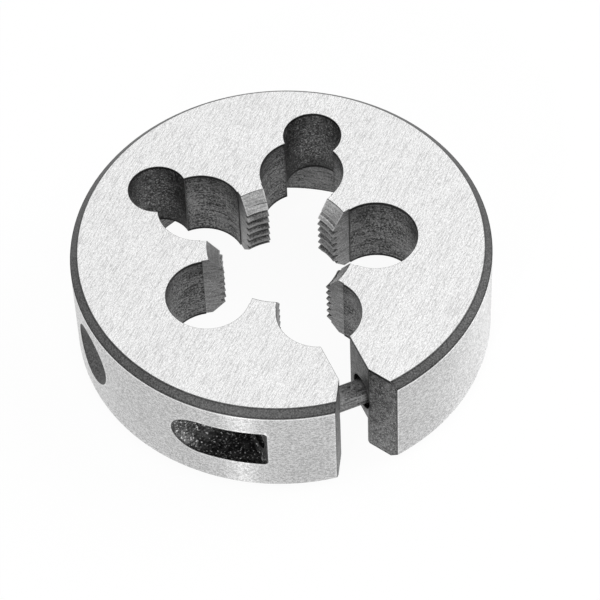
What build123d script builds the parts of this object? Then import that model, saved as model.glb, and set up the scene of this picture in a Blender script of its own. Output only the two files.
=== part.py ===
from build123d import *

import math
import os

# Adjustable round threading die, M17 x 1.25, in a 55 mm x 16 mm body.
#
# The origin is the centre of the underside.  The die axis is +Z and the
# adjusting slot points to -Y, so the adjusting screw lies parallel to X.
# Sizes are in millimetres and angles in degrees.

# Turned blank: outside, both rim chamfers and the relieved underside.
outer_diameter = 55.0
thickness = 16.0
edge_chamfer = 1.0
foot_rim_width = 4.6
recess_depth = 5.0

# Cutting thread and the tapered leads at its two ends.
thread_diameter = 17.0
thread_pitch = 1.25
thread_rise = 0.2
mouth_diameter = 19.25
front_lead_length = 2.6
back_lead_length = 2.0

# Chip holes, each opening to the thread through a throat with flat sides.
chip_hole_count = 5
chip_hole_diameter = 11.0
chip_hole_circle = 24.8
throat_angle = 64.0
throat_step = 0.12

# Relief holes that let the ring flex, joined to the two rear chip holes.
relief_hole_diameter = 7.7
relief_hole_circle = 37.9

# Adjusting slot, parallel inside and flared at the rim.
slot_width = 4.0
flare_depth = 4.2
flare_angle = 60.0

# Adjusting screw: a slotted threaded body with a plain point across the slot.
screw_diameter = 5.0
screw_fit_clearance = 0.05
screw_inset = 6.5
side_height = 8.5
screw_end_recess = 0.5
screw_end_chamfer = 0.5
driver_slot_width = 0.8
driver_slot_depth = 1.3
point_diameter = 3.3
point_chamfer = 0.4
point_shoulder_inset = 0.6
point_end_clearance = 0.3
seat_hole_diameter = 4.8
seat_hole_depth = 3.4
drill_point_angle = 118.0

# Pocket in the rim that lets a screwdriver reach the screw.
pocket_width = 6.4
pocket_end_shift = 1.75
pocket_floor = 12.6
pocket_corner_radius = 0.5

# Conical dimples that the clamping screws of a die stock press into, set a
# little towards the slot.
dimple_diameter = 8.8
dimple_angle = 90.0
dimple_shift = 1.2

# Values worked out from the sizes above.
cut_margin = 2.0
blank_start_angle = 60.0
outer_radius = outer_diameter / 2
slot_angle = -90.0
rear_angle = slot_angle + 180.0
hole_step = 360.0 / chip_hole_count
slot_wall = slot_width / 2
screw_offset = outer_radius - screw_inset


# Thread form: a 60 degree vee.  Its crests reach down to the root that the
# die cuts on a rod, and its own roots stand a little clear of the rod.
vee_height = thread_pitch * math.sqrt(3) / 2
vee_apex = thread_diameter / 2 + vee_height / 8
root_radius = thread_diameter / 2 + vee_height / 16
crest_radius = thread_diameter / 2 - vee_height * 17 / 24
vee_slope = thread_pitch / 2 / vee_height


# Thread groove: an arc of the right-hand helical cut between two crests, long
# enough to cross one land.  Its mouth lies a little inside the bore.
groove_span = hole_step * 2 / 3
groove_mouth = crest_radius - 0.1
groove_mouth_half = (vee_apex - groove_mouth) * vee_slope
groove_root_half = (vee_apex - root_radius) * vee_slope

with BuildPart() as groove_arc:
    with BuildLine() as groove_path:
        Helix(pitch=thread_pitch, height=thread_pitch * groove_span / 360, radius=crest_radius)
    with BuildSketch(Plane.XZ):
        with BuildLine():
            Polyline(
                (groove_mouth, -groove_mouth_half),
                (root_radius, -groove_root_half),
                (root_radius, groove_root_half),
                (groove_mouth, groove_mouth_half),
                close=True,
            )
        make_face()
    sweep(path=groove_path.wires()[0], is_frenet=True)

# One arc for each crossing of a land, from below the back lead to above the
# front one.  Each next land lies one step round and a part of a pitch higher.
first_land = slot_angle + hole_step / 2
rise_per_land = thread_pitch / chip_hole_count
crossing_count = math.ceil((thickness - recess_depth) / rise_per_land) + 2 * chip_hole_count
groove_places = [
    Location(
        (0, 0, recess_depth - thread_pitch + thread_rise + rise_per_land * i),
        (0, 0, first_land - groove_span / 2 + hole_step * i),
    )
    for i in range(crossing_count)
]


# Chip hole outline: a circle and two flats that meet towards the die axis,
# drawn about the hole's centre with the rim of the die at +X.  The flats are
# set back from the circle, so each one ends in a small step.
chip_hole_radius = chip_hole_diameter / 2
flat_distance = chip_hole_radius + throat_step
throat_half = math.radians(throat_angle / 2)
throat_apex = (-flat_distance / math.sin(throat_half), 0)
throat_foot = -flat_distance * math.sin(throat_half)
throat_side = flat_distance * math.cos(throat_half)

with BuildSketch() as chip_outline:
    Circle(chip_hole_radius)
    with BuildLine():
        Polyline(throat_apex, (throat_foot, -throat_side), (throat_foot, throat_side), close=True)
    make_face()


# Screwdriver pocket: round at its inner end, open to the rim, with a flat
# floor that the screw comes out of and a small radius round that floor.
with BuildPart() as pocket:
    with BuildSketch(Plane.YZ.offset(-pocket_floor)):
        with Locations((pocket_end_shift - screw_offset, side_height)):
            Circle(pocket_width / 2)
            Rectangle(outer_radius, pocket_width, align=(Align.MAX, Align.CENTER))
    extrude(amount=-outer_radius)
    floor_edges = pocket.faces().sort_by(Axis.X)[-1].edges().filter_by(Axis.Z, reverse=True)
    fillet(floor_edges, pocket_corner_radius)


# Die body: one piece of tool steel.
blank_start = Vector(1, 0, 0).rotate(Axis.Z, blank_start_angle)
foot_radius = outer_radius - foot_rim_width

with BuildPart() as die_body:
    with BuildSketch(Plane((0, 0, 0), x_dir=blank_start, z_dir=blank_start.cross(Vector(0, 0, 1)))):
        with BuildLine():
            Polyline(
                (crest_radius, recess_depth + back_lead_length),
                (mouth_diameter / 2, recess_depth),
                (foot_radius, recess_depth),
                (foot_radius, 0),
                (outer_radius - edge_chamfer, 0),
                (outer_radius, edge_chamfer),
                (outer_radius, thickness - edge_chamfer),
                (outer_radius - edge_chamfer, thickness),
                (mouth_diameter / 2, thickness),
                (crest_radius, thickness - front_lead_length),
                close=True,
            )
        make_face()
    revolve(axis=Axis.Z)

    with Locations(*groove_places):
        add(groove_arc.part, mode=Mode.SUBTRACT)

    add(pocket.part, mode=Mode.SUBTRACT)

    # Tapped hole for the screw in one half, and the seat of its point in the
    # other, both on one line across the slot.
    screw_bore_plane = Plane.YZ.offset(-pocket_floor - pocket_corner_radius)
    with BuildSketch(screw_bore_plane):
        with Locations((-screw_offset, side_height)):
            Circle(screw_diameter / 2)
    extrude(amount=pocket_floor + pocket_corner_radius, mode=Mode.SUBTRACT)
    seat_bottom = slot_wall + seat_hole_depth
    seat_radius = seat_hole_diameter / 2
    seat_cone_depth = seat_radius / math.tan(math.radians(drill_point_angle / 2))
    screw_axis = Axis((0, -screw_offset, side_height), (1, 0, 0))
    with BuildSketch(Plane((0, -screw_offset, side_height))):
        with BuildLine():
            Polyline(
                (0, 0),
                (0, seat_radius),
                (seat_bottom, seat_radius),
                (seat_bottom + seat_cone_depth, 0),
                close=True,
            )
        make_face()
    revolve(axis=screw_axis, mode=Mode.SUBTRACT)

    # Dimples across the slot's direction, one on each side.
    dimple_radius = dimple_diameter / 2
    dimple_depth = dimple_radius / math.tan(math.radians(dimple_angle / 2))
    for side in (-1, 1):
        with BuildSketch(Plane((0, -dimple_shift, side_height))):
            with BuildLine():
                Polyline(
                    (side * (outer_radius - dimple_depth), 0),
                    (side * outer_radius, dimple_radius),
                    (side * (outer_radius + cut_margin), dimple_radius),
                    (side * (outer_radius + cut_margin), 0),
                    close=True,
                )
            make_face()
        revolve(axis=Axis((0, -dimple_shift, side_height), (1, 0, 0)), mode=Mode.SUBTRACT)

    # Chip holes, relief holes and the slot, all straight through.  This cut is
    # not cleaned, so the rim stays in two faces that meet where the blank's
    # turning starts.
    with BuildSketch():
        with PolarLocations(chip_hole_circle / 2, chip_hole_count, start_angle=slot_angle):
            add(chip_outline.sketch)
        with PolarLocations(relief_hole_circle / 2, 2, rear_angle - hole_step / 2, hole_step, endpoint=True):
            Circle(relief_hole_diameter / 2)
        with BuildLine():
            flare_start = outer_radius - flare_depth
            flare_end = outer_radius + cut_margin
            flare_wall = slot_wall + (flare_end - flare_start) * math.tan(math.radians(flare_angle / 2))
            slot_start = chip_hole_circle / 2
            Polyline(
                (-slot_wall, -slot_start),
                (-slot_wall, -flare_start),
                (-flare_wall, -flare_end),
                (flare_wall, -flare_end),
                (slot_wall, -flare_start),
                (slot_wall, -slot_start),
                close=True,
            )
        make_face()
    extrude(amount=thickness, mode=Mode.SUBTRACT, clean=False)


# Adjusting screw: turned in one piece, slotted at the pocket end.
screw_radius = screw_diameter / 2 - screw_fit_clearance
screw_head = -(pocket_floor - screw_end_recess)
point_start = -(slot_wall + point_shoulder_inset)
point_end = seat_bottom - point_end_clearance
point_radius = point_diameter / 2
shoulder_taper = screw_radius - point_radius

with BuildPart() as adjusting_screw:
    with BuildSketch(Plane((0, -screw_offset, side_height))):
        with BuildLine():
            Polyline(
                (screw_head, 0),
                (screw_head, screw_radius - screw_end_chamfer),
                (screw_head + screw_end_chamfer, screw_radius),
                (point_start - shoulder_taper, screw_radius),
                (point_start, point_radius),
                (point_end - point_chamfer, point_radius),
                (point_end, point_radius - point_chamfer),
                (point_end, 0),
                close=True,
            )
        make_face()
    revolve(axis=screw_axis)
    with BuildSketch(Plane.YZ.offset(screw_head)):
        with Locations((-screw_offset, side_height)):
            Rectangle(driver_slot_width, screw_diameter)
    extrude(amount=driver_slot_depth, mode=Mode.SUBTRACT)


die_body.part.label = "die_body"
adjusting_screw.part.label = "adjusting_screw"

os.makedirs("parts", exist_ok=True)
export_step(die_body.part, "parts/die_body.step")
export_step(adjusting_screw.part, "parts/adjusting_screw.step")
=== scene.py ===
import math

import bpy
from mathutils import Matrix, Vector


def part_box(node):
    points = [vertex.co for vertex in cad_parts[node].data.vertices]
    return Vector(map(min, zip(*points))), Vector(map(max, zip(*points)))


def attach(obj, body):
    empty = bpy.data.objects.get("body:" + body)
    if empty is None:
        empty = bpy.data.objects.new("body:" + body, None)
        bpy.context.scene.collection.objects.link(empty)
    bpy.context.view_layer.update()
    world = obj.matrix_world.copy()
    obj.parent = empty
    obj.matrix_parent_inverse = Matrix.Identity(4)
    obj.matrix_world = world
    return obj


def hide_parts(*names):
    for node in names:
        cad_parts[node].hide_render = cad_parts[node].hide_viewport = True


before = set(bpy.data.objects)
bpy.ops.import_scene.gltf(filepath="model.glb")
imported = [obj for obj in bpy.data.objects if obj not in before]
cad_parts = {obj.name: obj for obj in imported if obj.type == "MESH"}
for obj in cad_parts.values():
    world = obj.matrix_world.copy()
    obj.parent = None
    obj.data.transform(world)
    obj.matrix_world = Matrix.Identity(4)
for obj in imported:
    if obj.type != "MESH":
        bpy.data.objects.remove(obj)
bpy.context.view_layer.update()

# Everything is in metres, in the frame of the solids: the die axis is +Z, the
# slot points to -Y and the die rests on z = 0.
mm = 0.001
body_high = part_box("die_body")[1]
screw_low, screw_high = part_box("adjusting_screw")
outer_radius = body_high.x
thickness = body_high.z
screw_height = (screw_low.z + screw_high.z) / 2

# Places on the die body that its surfaces are told apart by.
chip_hole_count = 5
chip_hole_offset = 12.4 * mm
chip_hole_radius = 5.5 * mm
relief_hole_offset = 18.95 * mm
relief_hole_radius = 3.85 * mm
relief_hole_angles = (54, 126)
slot_angle = -90
thread_root_radius = 8.57 * mm
lead_mouth_radius = 9.625 * mm
recess_radius = 22.9 * mm
recess_floor = 5 * mm
edge_chamfer = 1 * mm
slot_half = 2 * mm
slot_start = 16 * mm
flare_start = 23.3 * mm
pocket_floor = -12.6 * mm
pocket_half = 3.2 * mm
dimple_radius = 4.4 * mm
dimple_y = -1.2 * mm
near = 0.05 * mm

# Spans of a noise's value.  Nearly all of it lies in the soft span, and its
# grain shows best over the crisp one.
soft_span = (0.3, 0.7)
crisp_span = (0.41, 0.59)


# ---------------------------------------------------------------- node helpers
class Graph:
    """Adds nodes to a tree in a few words each."""

    def __init__(self, tree):
        self.tree = tree

    def node(self, kind, **settings):
        made = self.tree.nodes.new("ShaderNode" + kind)
        for name, value in settings.items():
            setattr(made, name, value)
        return made

    def set(self, socket, value):
        if isinstance(value, bpy.types.NodeSocket):
            self.tree.links.new(value, socket)
        else:
            socket.default_value = value

    def math(self, operation, a, b=0.0):
        """A sum or product of two numbers or sockets, or what else the node can do."""
        made = self.node("Math", operation=operation)
        self.set(made.inputs[0], a)
        self.set(made.inputs[1], b)
        return made.outputs[0]

    def ramp(self, value, span, to_span=(0.0, 1.0)):
        """Carries one span of values smoothly over to another."""
        made = self.node("MapRange", interpolation_type="SMOOTHSTEP")
        self.set(made.inputs["Value"], value)
        ends = ("From Min", "From Max", "To Min", "To Max")
        for end, limit in zip(ends, (*span, *to_span)):
            self.set(made.inputs[end], limit)
        return made.outputs["Result"]

    def blend(self, factor, a, b):
        """The first number at factor 0 and the second one at factor 1."""
        made = self.node("Mix", data_type="FLOAT")
        number_sockets = (made.inputs[2], made.inputs[3])
        self.set(made.inputs["Factor"], factor)
        for socket, value in zip(number_sockets, (a, b)):
            self.set(socket, value)
        return made.outputs[0]

    def scaled(self, place, scale):
        """A place times a scale, which is one number or three."""
        if isinstance(scale, tuple):
            sides = self.node("CombineXYZ")
            for side, value in zip("XYZ", scale):
                self.set(sides.inputs[side], value)
            made = self.node("VectorMath", operation="MULTIPLY")
            self.set(made.inputs[1], sides.outputs[0])
        else:
            made = self.node("VectorMath", operation="SCALE")
            self.set(made.inputs["Scale"], scale)
        self.set(made.inputs[0], place)
        return made.outputs[0]

    def noise(self, place, detail, roughness):
        """Noise with one grain to each unit of the place."""
        made = self.node("TexNoise")
        self.set(made.inputs["Vector"], place)
        made.inputs["Scale"].default_value = 1.0
        made.inputs["Detail"].default_value = detail
        made.inputs["Roughness"].default_value = roughness
        return made.outputs[0]

    def own_place(self):
        """Where a point lies in its piece's own space."""
        return self.node("TexCoord").outputs["Object"]

    def own_axis(self, axis):
        """One coordinate of a point in its piece's own space."""
        split = self.node("SeparateXYZ")
        self.set(split.inputs[0], self.own_place())
        return split.outputs[axis]

    def vary(self, tone, value, span, shares):
        """Keeps a share of a tone, from the first to the last as a value crosses its span."""
        return self.math("MULTIPLY", tone, self.ramp(value, span, shares))

    def darken(self, tone, mask, share):
        """Keeps the stated share of a tone where a mask is 1."""
        return self.vary(tone, mask, (0.0, 1.0), (1.0, share))

    def lighten(self, tone, mask, amount):
        """Adds the stated amount to a tone where a mask is 1."""
        return self.math("ADD", tone, self.math("MULTIPLY", mask, amount))


def effect_group(name, inputs, outputs):
    """A shader node group with number sockets."""
    tree = bpy.data.node_groups.new(name, "ShaderNodeTree")
    for label, value in inputs.items():
        socket = tree.interface.new_socket(label, in_out="INPUT", socket_type="NodeSocketFloat")
        socket.default_value = value
    for label in outputs:
        tree.interface.new_socket(label, in_out="OUTPUT", socket_type="NodeSocketFloat")
    entry = tree.nodes.new("NodeGroupInput")
    leave = tree.nodes.new("NodeGroupOutput")
    return Graph(tree), entry.outputs, leave.inputs


# ---------------------------------------------------------------- shared effects
# Grain, Size, Across, Along, Along Axis and Around count the marks in a metre.
# Reach is in metres and Direction in radians.
def make_grinding_lines():
    """Short straight scratches along one direction of the XY plane."""
    inputs = {"Direction": 0.0, "Across": 3600.0, "Along": 420.0}
    graph, take, give = effect_group("grinding_lines", inputs, ["Lines"])
    turned = graph.node("VectorRotate", rotation_type="Z_AXIS")
    graph.set(turned.inputs["Vector"], graph.own_place())
    graph.set(turned.inputs["Angle"], graph.math("MULTIPLY", take["Direction"], -1.0))
    stretched = graph.scaled(turned.outputs[0], (take["Along"], take["Across"], take["Across"]))
    graph.set(give["Lines"], graph.noise(stretched, detail=3.0, roughness=0.62))
    return graph.tree


def make_tool_rings():
    """Fine turning or drilling marks, level rings about the Z axis that waver."""
    inputs = {"Along Axis": 2600.0, "Around": 160.0}
    graph, take, give = effect_group("tool_rings", inputs, ["Rings"])
    stretched = graph.scaled(graph.own_place(), (take["Around"], take["Around"], take["Along Axis"]))
    graph.set(give["Rings"], graph.noise(stretched, detail=3.0, roughness=0.6))
    return graph.tree


def make_speckle():
    """Small pits and flecks, and the grain between them."""
    rarest_dark = 0.28
    rarest_light = 0.72
    most_spread = 0.14
    dark_softness = 0.08
    light_softness = 0.06
    inputs = {"Grain": 3800.0, "Amount": 0.5}
    graph, take, give = effect_group("speckle", inputs, ["Grain", "Dark Flecks", "Light Flecks"])
    place = graph.scaled(graph.own_place(), take["Grain"])
    grain = graph.noise(place, detail=2.0, roughness=0.65)
    spread = graph.math("MULTIPLY", take["Amount"], most_spread)
    dark = graph.math("ADD", rarest_dark, spread)
    light = graph.math("SUBTRACT", rarest_light, spread)
    darkest = graph.math("SUBTRACT", dark, dark_softness)
    lightest = graph.math("ADD", light, light_softness)
    graph.set(give["Grain"], grain)
    graph.set(give["Dark Flecks"], graph.ramp(grain, (dark, darkest)))
    graph.set(give["Light Flecks"], graph.ramp(grain, (light, lightest)))
    return graph.tree


def make_mottle():
    """Slow changes of tone left by heat treatment and handling."""
    graph, take, give = effect_group("mottle", {"Size": 320.0}, ["Tone"])
    place = graph.scaled(graph.own_place(), take["Size"])
    graph.set(give["Tone"], graph.noise(place, detail=4.0, roughness=0.55))
    return graph.tree


def make_edge_mask():
    """1 on a sharp edge, falling to 0 at the stated reach from it."""
    cosine_span = (0.998, 0.93)
    graph, take, give = effect_group("edge_mask", {"Reach": 0.15 * mm}, ["Edge"])
    rounded = graph.node("Bevel", samples=6)
    graph.set(rounded.inputs["Radius"], take["Reach"])
    cosine = graph.node("VectorMath", operation="DOT_PRODUCT")
    graph.set(cosine.inputs[0], rounded.outputs[0])
    graph.set(cosine.inputs[1], graph.node("NewGeometry").outputs["Normal"])
    graph.set(give["Edge"], graph.ramp(cosine.outputs["Value"], cosine_span))
    return graph.tree


effects = {
    "lines": make_grinding_lines(),
    "rings": make_tool_rings(),
    "speckle": make_speckle(),
    "mottle": make_mottle(),
    "edge": make_edge_mask(),
}


def place_effect(graph, name, **values):
    """A shared effect with its own values, whose labels are written with underscores."""
    made = graph.node("Group")
    made.node_tree = effects[name]
    for label, value in values.items():
        made.inputs[label.replace("_", " ")].default_value = value
    return made.outputs


# ---------------------------------------------------------------- finishes
# A finish runs from the first of its tones, in its dark grains, to the second.
# Pits keep a share of the tone, and so does painted shade at edges, rims, hole ends and in the pocket;
# glints and painted highlights add to it.
def steel(name, metallic=1.0):
    """A metal material, the graph of its nodes and its shader."""
    material = bpy.data.materials.new(name)
    material.use_nodes = True
    shader = material.node_tree.nodes["Principled BSDF"]
    shader.inputs["Metallic"].default_value = metallic
    return material, Graph(material.node_tree), shader


def give_surface(graph, shader, tone, roughness, height, depth):
    """Gives the shader a grey tone, its roughness and a relief of the stated depth."""
    colour = graph.node("CombineColor")
    for channel in ("Red", "Green", "Blue"):
        graph.set(colour.inputs[channel], tone)
    bump = graph.node("Bump")
    bump.inputs["Distance"].default_value = depth
    graph.set(bump.inputs["Height"], height)
    graph.set(shader.inputs["Base Color"], colour.outputs[0])
    graph.set(shader.inputs["Roughness"], roughness)
    graph.set(shader.inputs["Normal"], bump.outputs[0])


# Painted dark shade lines along edges, each with its reach and the share of the tone that it keeps.
edge_shade_line = (0.6 * mm, 0.12)
faint_shade_line = (0.2 * mm, 0.6)

# Painted shade at the ends of the upright holes and along the screwdriver pocket.
deep_shade_span = (recess_floor, recess_floor + 4.5 * mm)
mouth_shade_span = (thickness, thickness - 3.5 * mm)
pocket_shade_span = (pocket_floor - 9.6 * mm, pocket_floor - 6.0 * mm)


def shade_hole(graph, tone, deep_shade_share, mouth_shade_share):
    """Painted shade: keeps a share of a tone near the underside and another near the front face."""
    tone = graph.vary(tone, graph.own_axis("Z"), deep_shade_span, (deep_shade_share, 1.0))
    return graph.vary(tone, graph.own_axis("Z"), mouth_shade_span, (mouth_shade_share, 1.0))


def level_line(graph, height, reach):
    """1 close to a height, falling to 0 at the reach above and below it."""
    full_width = reach * 0.4
    away = graph.math("ABSOLUTE", graph.math("SUBTRACT", graph.own_axis("Z"), height))
    return graph.ramp(away, (reach, full_width))


def draw_shade_lines(graph, tone, heights, line):
    """Draws a painted dark shade line of a reach and a share of the tone along level edges."""
    reach, share = line
    for height in heights:
        tone = graph.darken(tone, level_line(graph, height, reach), share)
    return tone


def ground_face_finish():
    """Surface-ground front face: pale, with short slanting scratches among a fine grain."""
    slant = math.radians(42)
    tones = (0.63, 1.0)
    speck_mix = 0.5
    scratch_span, scratch_shares = (0.36, 0.52), (0.79, 1.0)
    scratch_mix = 0.3
    cloud_shares = (0.97, 1.0)
    roughness_ends = (0.52, 0.40)
    material, graph, shader = steel("ground_face")
    fine = place_effect(graph, "lines", Direction=slant, Across=7500.0, Along=2200.0)["Lines"]
    coarse = place_effect(graph, "lines", Direction=slant, Across=5200.0, Along=450.0)["Lines"]
    specks = place_effect(graph, "speckle", Grain=7500.0, Amount=0.7)
    cloud = place_effect(graph, "mottle", Size=120.0)["Tone"]
    grain = graph.blend(speck_mix, fine, specks["Grain"])
    tone = graph.ramp(grain, crisp_span, tones)
    tone = graph.vary(tone, coarse, scratch_span, scratch_shares)
    tone = graph.vary(tone, cloud, soft_span, cloud_shares)
    roughness = graph.ramp(grain, soft_span, roughness_ends)
    height = graph.blend(scratch_mix, grain, coarse)
    give_surface(graph, shader, tone, roughness, height, depth=0.003 * mm)
    return material


def ground_rim_finish():
    """Cylindrically ground rim: a satin grey that spreads light up and down its level marks."""
    grain_span, tones = (0.40, 0.60), (0.40, 0.78)
    speck_mix = 0.5
    cloud_shares = (0.96, 1.04)
    edge_highlight = 0.2
    highlight_line_height = thickness - edge_chamfer
    highlight_line_reach = 0.4 * mm
    highlight_line_amount = 0.25
    roughness_span, roughness_ends = (0.2, 0.8), (0.31, 0.39)
    material, graph, shader = steel("ground_rim")
    rings = place_effect(graph, "rings", Along_Axis=6000.0, Around=2200.0)["Rings"]
    specks = place_effect(graph, "speckle", Grain=6000.0, Amount=0.6)
    cloud = place_effect(graph, "mottle", Size=90.0)["Tone"]
    edge = place_effect(graph, "edge", Reach=0.7 * mm)["Edge"]
    grain = graph.blend(speck_mix, rings, specks["Grain"])
    tone = graph.ramp(grain, grain_span, tones)
    tone = graph.vary(tone, cloud, soft_span, cloud_shares)
    # Painted highlights: a light line along the rim's edges and another just below the chamfer.
    tone = graph.lighten(tone, edge, edge_highlight)
    highlight_line = level_line(graph, highlight_line_height, highlight_line_reach)
    tone = graph.lighten(tone, highlight_line, highlight_line_amount)
    roughness = graph.ramp(grain, roughness_span, roughness_ends)
    give_surface(graph, shader, tone, roughness, grain, depth=0.008 * mm)
    shader.inputs["Anisotropic"].default_value = 1.0
    shader.inputs["Anisotropic Rotation"].default_value = 0.25
    return material


def scale_finish(name, tones, flecks=0.5, grain=5200.0, cloudy=0.25, glints=0.9, edge_shade_share=1.0,
                 edge_reach=0.8 * mm, deep_shade_share=1.0, mouth_shade_share=1.0, pocket_shade_share=None, rims=(),
                 rim_shade_line=edge_shade_line):
    """Dark heat-treated surface that was not ground: speckled, with painted shade along its edges and
    rims, and where asked near the ends of holes and deep in the pocket.
    """
    pit_share = 0.45
    roughness_span, roughness_ends = (0.25, 0.75), (0.42, 0.62)
    material, graph, shader = steel(name, metallic=0.9)
    specks = place_effect(graph, "speckle", Grain=grain, Amount=flecks)
    cloud = place_effect(graph, "mottle", Size=1100.0)["Tone"]
    edge = place_effect(graph, "edge", Reach=edge_reach)["Edge"]
    skin = graph.blend(cloudy, specks["Grain"], cloud)
    tone = graph.ramp(skin, crisp_span, tones)
    tone = graph.darken(tone, specks["Dark Flecks"], pit_share)
    # Painted shade, darker deeper in the screwdriver pocket towards its floor.
    if pocket_shade_share is not None:
        tone = graph.vary(tone, graph.own_axis("X"), pocket_shade_span, (1.0, pocket_shade_share))
    tone = graph.lighten(tone, specks["Light Flecks"], tones[1] * glints)
    # Painted shade along the edges, near the ends of holes and as dark lines along level rims.
    tone = graph.darken(tone, edge, edge_shade_share)
    tone = shade_hole(graph, tone, deep_shade_share, mouth_shade_share)
    tone = draw_shade_lines(graph, tone, rims, rim_shade_line)
    roughness = graph.ramp(specks["Grain"], roughness_span, roughness_ends)
    give_surface(graph, shader, tone, roughness, skin, depth=0.03 * mm)
    return material


def bored_finish(name, tones, speck_mix=0.65, edge_shade_share=0.2, deep_shade_share=0.85, mouth_shade_share=0.7, rims=()):
    """Dark drilled or turned wall with level tool rings, a few of them deep."""
    fine_rings, deep_rings, wavers = 4200.0, 1890.0, 320.0
    groove_span, groove_shares = (0.34, 0.41), (0.45, 1.0)
    groove_mix = 0.4
    cloudy = 0.2
    glints = 0.35
    pit_share = 0.3
    roughness_ends = (0.56, 0.40)
    material, graph, shader = steel(name, metallic=0.9)
    rings = place_effect(graph, "rings", Along_Axis=fine_rings, Around=wavers)["Rings"]
    grooves = place_effect(graph, "rings", Along_Axis=deep_rings, Around=wavers)["Rings"]
    specks = place_effect(graph, "speckle", Grain=4200.0, Amount=0.9)
    cloud = place_effect(graph, "mottle", Size=400.0)["Tone"]
    edge = place_effect(graph, "edge", Reach=0.8 * mm)["Edge"]
    marks = graph.blend(speck_mix, rings, specks["Grain"])
    marks = graph.blend(cloudy, marks, cloud)
    tone = graph.ramp(marks, crisp_span, tones)
    tone = graph.vary(tone, grooves, groove_span, groove_shares)
    tone = graph.lighten(tone, specks["Light Flecks"], tones[1] * glints)
    tone = graph.darken(tone, specks["Dark Flecks"], pit_share)
    # Painted shade along the edges, near the ends of the hole and as dark lines along level rims.
    tone = graph.darken(tone, edge, edge_shade_share)
    tone = shade_hole(graph, tone, deep_shade_share, mouth_shade_share)
    tone = draw_shade_lines(graph, tone, rims, edge_shade_line)
    roughness = graph.ramp(marks, soft_span, roughness_ends)
    height = graph.blend(groove_mix, marks, grooves)
    give_surface(graph, shader, tone, roughness, height, depth=0.04 * mm)
    return material


def cut_finish(name, tones, rubbed, fine_rings=4200.0, wavers=500.0):
    """Bright cut surface with fine marks, and edges that are rubbed brighter by a share."""
    mark_span = (0.38, 0.62)
    speck_mix = 0.5
    pit_share = 0.55
    glints = 0.5
    rubbed_tone = tones[1] * 1.5
    roughness_ends = (0.5, 0.36)
    material, graph, shader = steel(name)
    rings = place_effect(graph, "rings", Along_Axis=fine_rings, Around=wavers)["Rings"]
    specks = place_effect(graph, "speckle", Grain=5200.0, Amount=0.6)
    edge = place_effect(graph, "edge", Reach=0.3 * mm)["Edge"]
    marks = graph.blend(speck_mix, rings, specks["Grain"])
    tone = graph.ramp(marks, mark_span, tones)
    tone = graph.darken(tone, specks["Dark Flecks"], pit_share)
    tone = graph.lighten(tone, specks["Light Flecks"], tones[1] * glints)
    tone = graph.blend(graph.math("MULTIPLY", edge, rubbed), tone, rubbed_tone)
    roughness = graph.ramp(marks, soft_span, roughness_ends)
    give_surface(graph, shader, tone, roughness, marks, depth=0.03 * mm)
    return material


wall_rims = (recess_floor, thickness)
chamfer_rims = (thickness - edge_chamfer, thickness)
body_finishes = {
    "front_face": ground_face_finish(),
    "ground_rim": ground_rim_finish(),
    "foot_face": scale_finish("foot_face", (0.30, 0.46), flecks=0.3, edge_shade_share=0.7),
    "chamfer": scale_finish(
        "chamfer", (0.06, 0.14), cloudy=0.1, edge_shade_share=0.3, edge_reach=0.6 * mm,
        rims=chamfer_rims, rim_shade_line=faint_shade_line,
    ),
    "chip_hole": bored_finish("chip_hole", (0.04, 0.22), rims=wall_rims),
    "relief_hole": scale_finish(
        "relief_hole", (0.03, 0.17), flecks=0.9, grain=4200.0, glints=1.6, edge_shade_share=0.2,
        deep_shade_share=0.35, mouth_shade_share=0.75, rims=wall_rims,
    ),
    "flank": cut_finish("flank", (0.14, 0.28), rubbed=0.25),
    "lead_cone": cut_finish("lead_cone", (0.26, 0.50), rubbed=0.6, fine_rings=5600.0, wavers=300.0),
    "thread": cut_finish("thread", (0.05, 0.21), rubbed=0.55),
    "slot_wall": scale_finish(
        "slot_wall", (0.07, 0.28), flecks=0.7, grain=4400.0, cloudy=0.3, edge_shade_share=0.4,
        rims=(thickness,),
    ),
    "pocket": scale_finish(
        "pocket", (0.06, 0.30), flecks=0.8, grain=3600.0, cloudy=0.4, glints=2.4, edge_shade_share=0.15,
        pocket_shade_share=0.34,
    ),
    "pocket_floor": cut_finish("pocket_floor", (0.12, 0.45), rubbed=0.9),
    "dimple": scale_finish("dimple", (0.07, 0.13), flecks=0.3, edge_shade_share=0.15),
    "recess": bored_finish("recess", (0.09, 0.2), speck_mix=0.5),
    "edge_break": scale_finish("edge_break", (0.08, 0.16), flecks=0.3),
}
screw_finishes = {
    "screw_side": bored_finish(
        "screw_side", (0.07, 0.26), speck_mix=0.3, edge_shade_share=0.5, deep_shade_share=1.0, mouth_shade_share=1.0,
    ),
    "screw_end": cut_finish("screw_end", (0.6, 0.9), rubbed=0.2),
    "edge_break": scale_finish("screw_edge", (0.16, 0.28), flecks=0.3),
}


# ---------------------------------------------------------------- surfaces
def polar(radius, degrees):
    angle = math.radians(degrees)
    return Vector((radius * math.cos(angle), radius * math.sin(angle)))


chip_hole_step = 360 / chip_hole_count
chip_hole_angles = [slot_angle + chip_hole_step * i for i in range(chip_hole_count)]
chip_hole_centres = [polar(chip_hole_offset, degrees) for degrees in chip_hole_angles]
relief_hole_centres = [polar(relief_hole_offset, degrees) for degrees in relief_hole_angles]


def all_on_wall(corners, centres, radius):
    """Whether every corner lies on the wall of one of the upright holes."""
    return any(all(abs((c.xy - centre).length - radius) < near for c in corners) for centre in centres)


# Limits for a part of a face's normal: for level and upright faces, for those
# turned straight or half out or in, and for the slopes of chamfers and leads.
level = 0.999
upright = 0.02
straight = 0.99
nearly_straight = 0.9
half_turned = 0.5
chamfer_slopes = (0.5, 0.9)
lead_slopes = (0.5, 0.75)
chamfer_start = outer_radius - edge_chamfer - near


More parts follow.
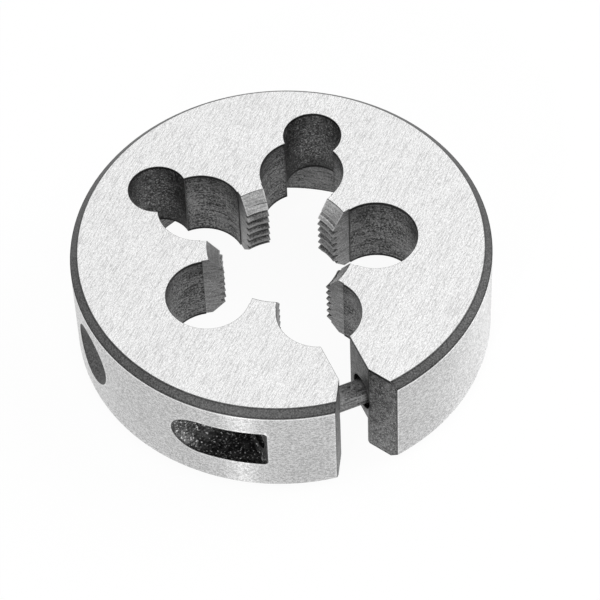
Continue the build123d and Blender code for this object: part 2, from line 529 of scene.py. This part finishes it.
def between(value, limits):
    return limits[0] < value < limits[1]


def slot_side_surface(face, corners, middle):
    """The surface of a face that lies near the slot's outer part or in the pocket."""
    from_screw = abs(middle.z - screw_height)
    beside_slot = min(abs(c.x) for c in corners) > slot_half + near
    if middle.x < pocket_floor + near and from_screw < pocket_half + near:
        return "pocket_floor" if face.normal.x < -nearly_straight else "pocket"
    if beside_slot and middle.y > -flare_start or abs(face.normal.z) > upright:
        return "pocket"
    return "slot_wall"


def body_surface(face, corners):
    """The name of the die body's surface that a face belongs to."""
    middle = sum(corners, Vector()) / len(corners)
    radius = middle.xy.length
    rise = face.normal.z
    outward = face.normal.xy.dot(middle.xy) / max(radius, near)
    stands_upright = abs(rise) < upright
    highest = max(c.z for c in corners)
    lowest = min(c.z for c in corners)
    in_recess_wall = stands_upright and radius > recess_radius - near * 2 and highest < recess_floor + near
    in_dimple = abs(middle.y - dimple_y) < dimple_radius and abs(middle.z - screw_height) < dimple_radius
    if rise > level and lowest > thickness - near:
        return "front_face"
    if rise < -level:
        return "foot_face" if highest < near else "recess"
    if outward > straight and radius > outer_radius - near * 4:
        return "ground_rim"
    if outward > half_turned and between(abs(rise), chamfer_slopes) and radius > chamfer_start:
        return "chamfer"
    if in_recess_wall and outward < -nearly_straight:
        return "recess"
    if stands_upright and all_on_wall(corners, relief_hole_centres, relief_hole_radius):
        return "relief_hole"
    if stands_upright and all_on_wall(corners, chip_hole_centres, chip_hole_radius):
        return "chip_hole"
    if radius > recess_radius and in_dimple:
        return "dimple"
    if middle.y < -slot_start:
        return slot_side_surface(face, corners, middle)
    if radius > thread_root_radius + near * 2 and middle.y < -chip_hole_offset:
        return "slot_wall"
    if abs(outward) < half_turned and stands_upright:
        return "flank"
    if radius < lead_mouth_radius + near and between(abs(rise), lead_slopes):
        return "lead_cone"
    return "thread"


def screw_surface(face, corners):
    """The name of the adjusting screw's surface that a face belongs to."""
    return "screw_end" if abs(face.normal.x) > half_turned else "screw_side"


def give_finishes(piece, finishes, surface_of):
    """Gives each face the finish of the surface that it belongs to."""
    order = list(finishes)
    for name in order:
        piece.data.materials.append(finishes[name])
    for face in piece.data.polygons:
        corners = [piece.data.vertices[i].co for i in face.vertices]
        face.material_index = order.index(surface_of(face, corners))


# ---------------------------------------------------------------- pieces
weld_distance = 0.002 * mm
flat_angle = math.radians(0.6)
sharp_angle = math.radians(24)
smooth_angle = math.radians(40)
edge_break_width = 0.06 * mm
edge_break_steps = 2
thread_zone = lead_mouth_radius - near * 3


def select_only(piece):
    bpy.ops.object.select_all(action="DESELECT")
    piece.select_set(True)
    bpy.context.view_layer.objects.active = piece


def welded_copy(node_name, piece_name):
    """A copy of a solid's mesh with its triangles welded to each other."""
    piece = bpy.data.objects.new(piece_name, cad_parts[node_name].data.copy())
    piece.data.name = piece_name
    piece.data.materials.clear()
    bpy.context.scene.collection.objects.link(piece)
    select_only(piece)
    bpy.ops.mesh.customdata_custom_splitnormals_clear()
    bpy.ops.object.mode_set(mode="EDIT")
    bpy.ops.mesh.select_all(action="SELECT")
    bpy.ops.mesh.remove_doubles(threshold=weld_distance)
    bpy.ops.object.mode_set(mode="OBJECT")
    return piece


def join_flat_faces(piece):
    """Makes each flat surface one face again, without joining different finishes."""
    select_only(piece)
    bpy.ops.object.mode_set(mode="EDIT")
    bpy.ops.mesh.select_all(action="SELECT")
    bpy.ops.mesh.dissolve_limited(angle_limit=flat_angle, delimit={"MATERIAL"})
    bpy.ops.object.mode_set(mode="OBJECT")


def break_edges(piece, finishes, may_break):
    """Rounds the chosen sharp edges a little, as deburring does."""
    select_only(piece)
    bpy.ops.object.mode_set(mode="EDIT")
    bpy.ops.mesh.select_mode(type="EDGE")
    bpy.ops.mesh.select_all(action="DESELECT")
    bpy.ops.mesh.edges_select_sharp(sharpness=sharp_angle)
    bpy.ops.object.mode_set(mode="OBJECT")
    for face in piece.data.polygons:
        face.select = False
    for edge in piece.data.edges:
        ends = [piece.data.vertices[i].co for i in edge.vertices]
        edge.select = edge.select and may_break(ends)
    bpy.ops.object.mode_set(mode="EDIT")
    bpy.ops.transform.edge_bevelweight(value=1.0)
    bpy.ops.object.mode_set(mode="OBJECT")
    rounding = piece.modifiers.new("edge_break", "BEVEL")
    rounding.limit_method = "WEIGHT"
    rounding.width = edge_break_width
    rounding.segments = edge_break_steps
    rounding.use_clamp_overlap = False
    rounding.material = list(finishes).index("edge_break")
    bpy.ops.object.modifier_apply(modifier=rounding.name)


def smooth_and_settle(piece):
    select_only(piece)
    bpy.ops.object.shade_smooth_by_angle(angle=smooth_angle)
    weighting = piece.modifiers.new("weighted_normals", "WEIGHTED_NORMAL")
    weighting.keep_sharp = True
    bpy.ops.object.modifier_apply(modifier=weighting.name)


def outside_thread(ends):
    return all(end.xy.length > thread_zone for end in ends)


def any_edge(ends):
    return True


def finished_die_body():
    piece = welded_copy("die_body", "finished_die_body")
    give_finishes(piece, body_finishes, body_surface)
    join_flat_faces(piece)
    break_edges(piece, body_finishes, outside_thread)
    smooth_and_settle(piece)
    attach(piece, "die")
    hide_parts("die_body")


def finished_adjusting_screw():
    piece = welded_copy("adjusting_screw", "finished_adjusting_screw")
    give_finishes(piece, screw_finishes, screw_surface)
    join_flat_faces(piece)
    break_edges(piece, screw_finishes, any_edge)
    smooth_and_settle(piece)
    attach(piece, "screw")
    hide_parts("adjusting_screw")


finished_die_body()
finished_adjusting_screw()


# ---------------------------------------------------------------- studio
camera_aim = Vector((0.88, -3.72, 8.0)) * mm
camera_distance = 0.4305
camera_azimuth = math.radians(-21.46)
camera_elevation = math.radians(51.88)
camera_roll = math.radians(-2.50)
camera_lens = 196.9
camera_sensor = 36
camera_clip_start = 0.01

# A small low lamp that draws the upright highlight on the rim, and a large
# soft one on the right.  Angles in degrees, sizes in metres, power in watts.
key_lamp = {"azimuth": -133, "elevation": 26, "distance": 0.9, "size": 0.03, "power": 1.3}
fill_lamp = {"azimuth": -5, "elevation": 38, "distance": 1.0, "size": 0.8, "power": 3.8}
studio_white = 1.0
studio_light = 0.6

floor_size = 4
floor_gap = 0.03 * mm
floor_colour = (0.85, 0.85, 0.85, 1)
floor_roughness = 0.9
floor_glow = 1.02
floor_glow_share = 0.93


def place_camera():
    """Looks down on the front face from the left of the slot, a little tilted."""
    forward = Vector((
        -math.sin(camera_azimuth) * math.cos(camera_elevation),
        math.cos(camera_azimuth) * math.cos(camera_elevation),
        -math.sin(camera_elevation),
    ))
    facing = forward.to_track_quat("-Z", "Y").to_matrix().to_4x4()
    data = bpy.data.cameras.new("camera")
    data.sensor_width = camera_sensor
    data.lens = camera_lens
    data.clip_start = camera_clip_start
    camera = bpy.data.objects.new("camera", data)
    bpy.context.scene.collection.objects.link(camera)
    place = Matrix.Translation(camera_aim - forward * camera_distance)
    camera.matrix_world = place @ facing @ Matrix.Rotation(camera_roll, 4, "Z")
    bpy.context.scene.camera = camera


def soft_lamp(name, azimuth, elevation, distance, size, power):
    """A round lamp that looks at the origin."""
    data = bpy.data.lights.new(name, "AREA")
    data.shape = "DISK"
    data.size = size
    data.energy = power
    lamp = bpy.data.objects.new(name, data)
    bpy.context.scene.collection.objects.link(lamp)
    height = math.sin(math.radians(elevation))
    across = polar(math.cos(math.radians(elevation)), azimuth)
    place = Vector((across.x, across.y, height)) * distance
    towards = (-place).to_track_quat("-Z", "Y").to_matrix().to_4x4()
    lamp.matrix_world = Matrix.Translation(place) @ towards


def seen_or_mirrored(graph):
    """1 for rays from the camera or from a gloss or a glass, else 0."""
    path = graph.node("LightPath").outputs
    mirrored = graph.math("MAXIMUM", path["Is Glossy Ray"], path["Is Transmission Ray"])
    return graph.math("MAXIMUM", path["Is Camera Ray"], mirrored)


def light_the_world():
    """White where it is seen or mirrored, and a dimmer white as a light."""
    world = bpy.data.worlds.new("studio")
    bpy.context.scene.world = world
    world.use_nodes = True
    graph = Graph(world.node_tree)
    background = world.node_tree.nodes["Background"]
    background.inputs["Color"].default_value = (1, 1, 1, 1)
    strength = graph.blend(seen_or_mirrored(graph), studio_light, studio_white)
    graph.set(background.inputs["Strength"], strength)


def pale_floor_finish():
    """Pale and a little aglow where it is seen from above, clear from below."""
    material = bpy.data.materials.new("pale_floor")
    material.use_nodes = True
    nodes = material.node_tree.nodes
    graph = Graph(material.node_tree)
    paint = nodes["Principled BSDF"]
    paint.inputs["Base Color"].default_value = floor_colour
    paint.inputs["Roughness"].default_value = floor_roughness
    glow = graph.node("Emission")
    glow.inputs["Strength"].default_value = floor_glow
    above = graph.node("MixShader")
    graph.set(above.inputs[0], graph.math("MULTIPLY", seen_or_mirrored(graph), floor_glow_share))
    graph.set(above.inputs[1], paint.outputs[0])
    graph.set(above.inputs[2], glow.outputs[0])
    either = graph.node("MixShader")
    graph.set(either.inputs[0], graph.node("NewGeometry").outputs["Backfacing"])
    graph.set(either.inputs[1], above.outputs[0])
    graph.set(either.inputs[2], graph.node("BsdfTransparent").outputs[0])
    graph.set(nodes["Material Output"].inputs["Surface"], either.outputs[0])
    return material


def lay_floor():
    bpy.ops.object.select_all(action="DESELECT")
    bpy.ops.mesh.primitive_plane_add(size=floor_size)
    floor = bpy.context.object
    floor.name = "floor"
    floor.location.z = -floor_gap
    floor.data.materials.append(pale_floor_finish())


place_camera()
soft_lamp("key", **key_lamp)
soft_lamp("fill", **fill_lamp)
light_the_world()
lay_floor()
bpy.context.scene.view_settings.view_transform = "Standard"
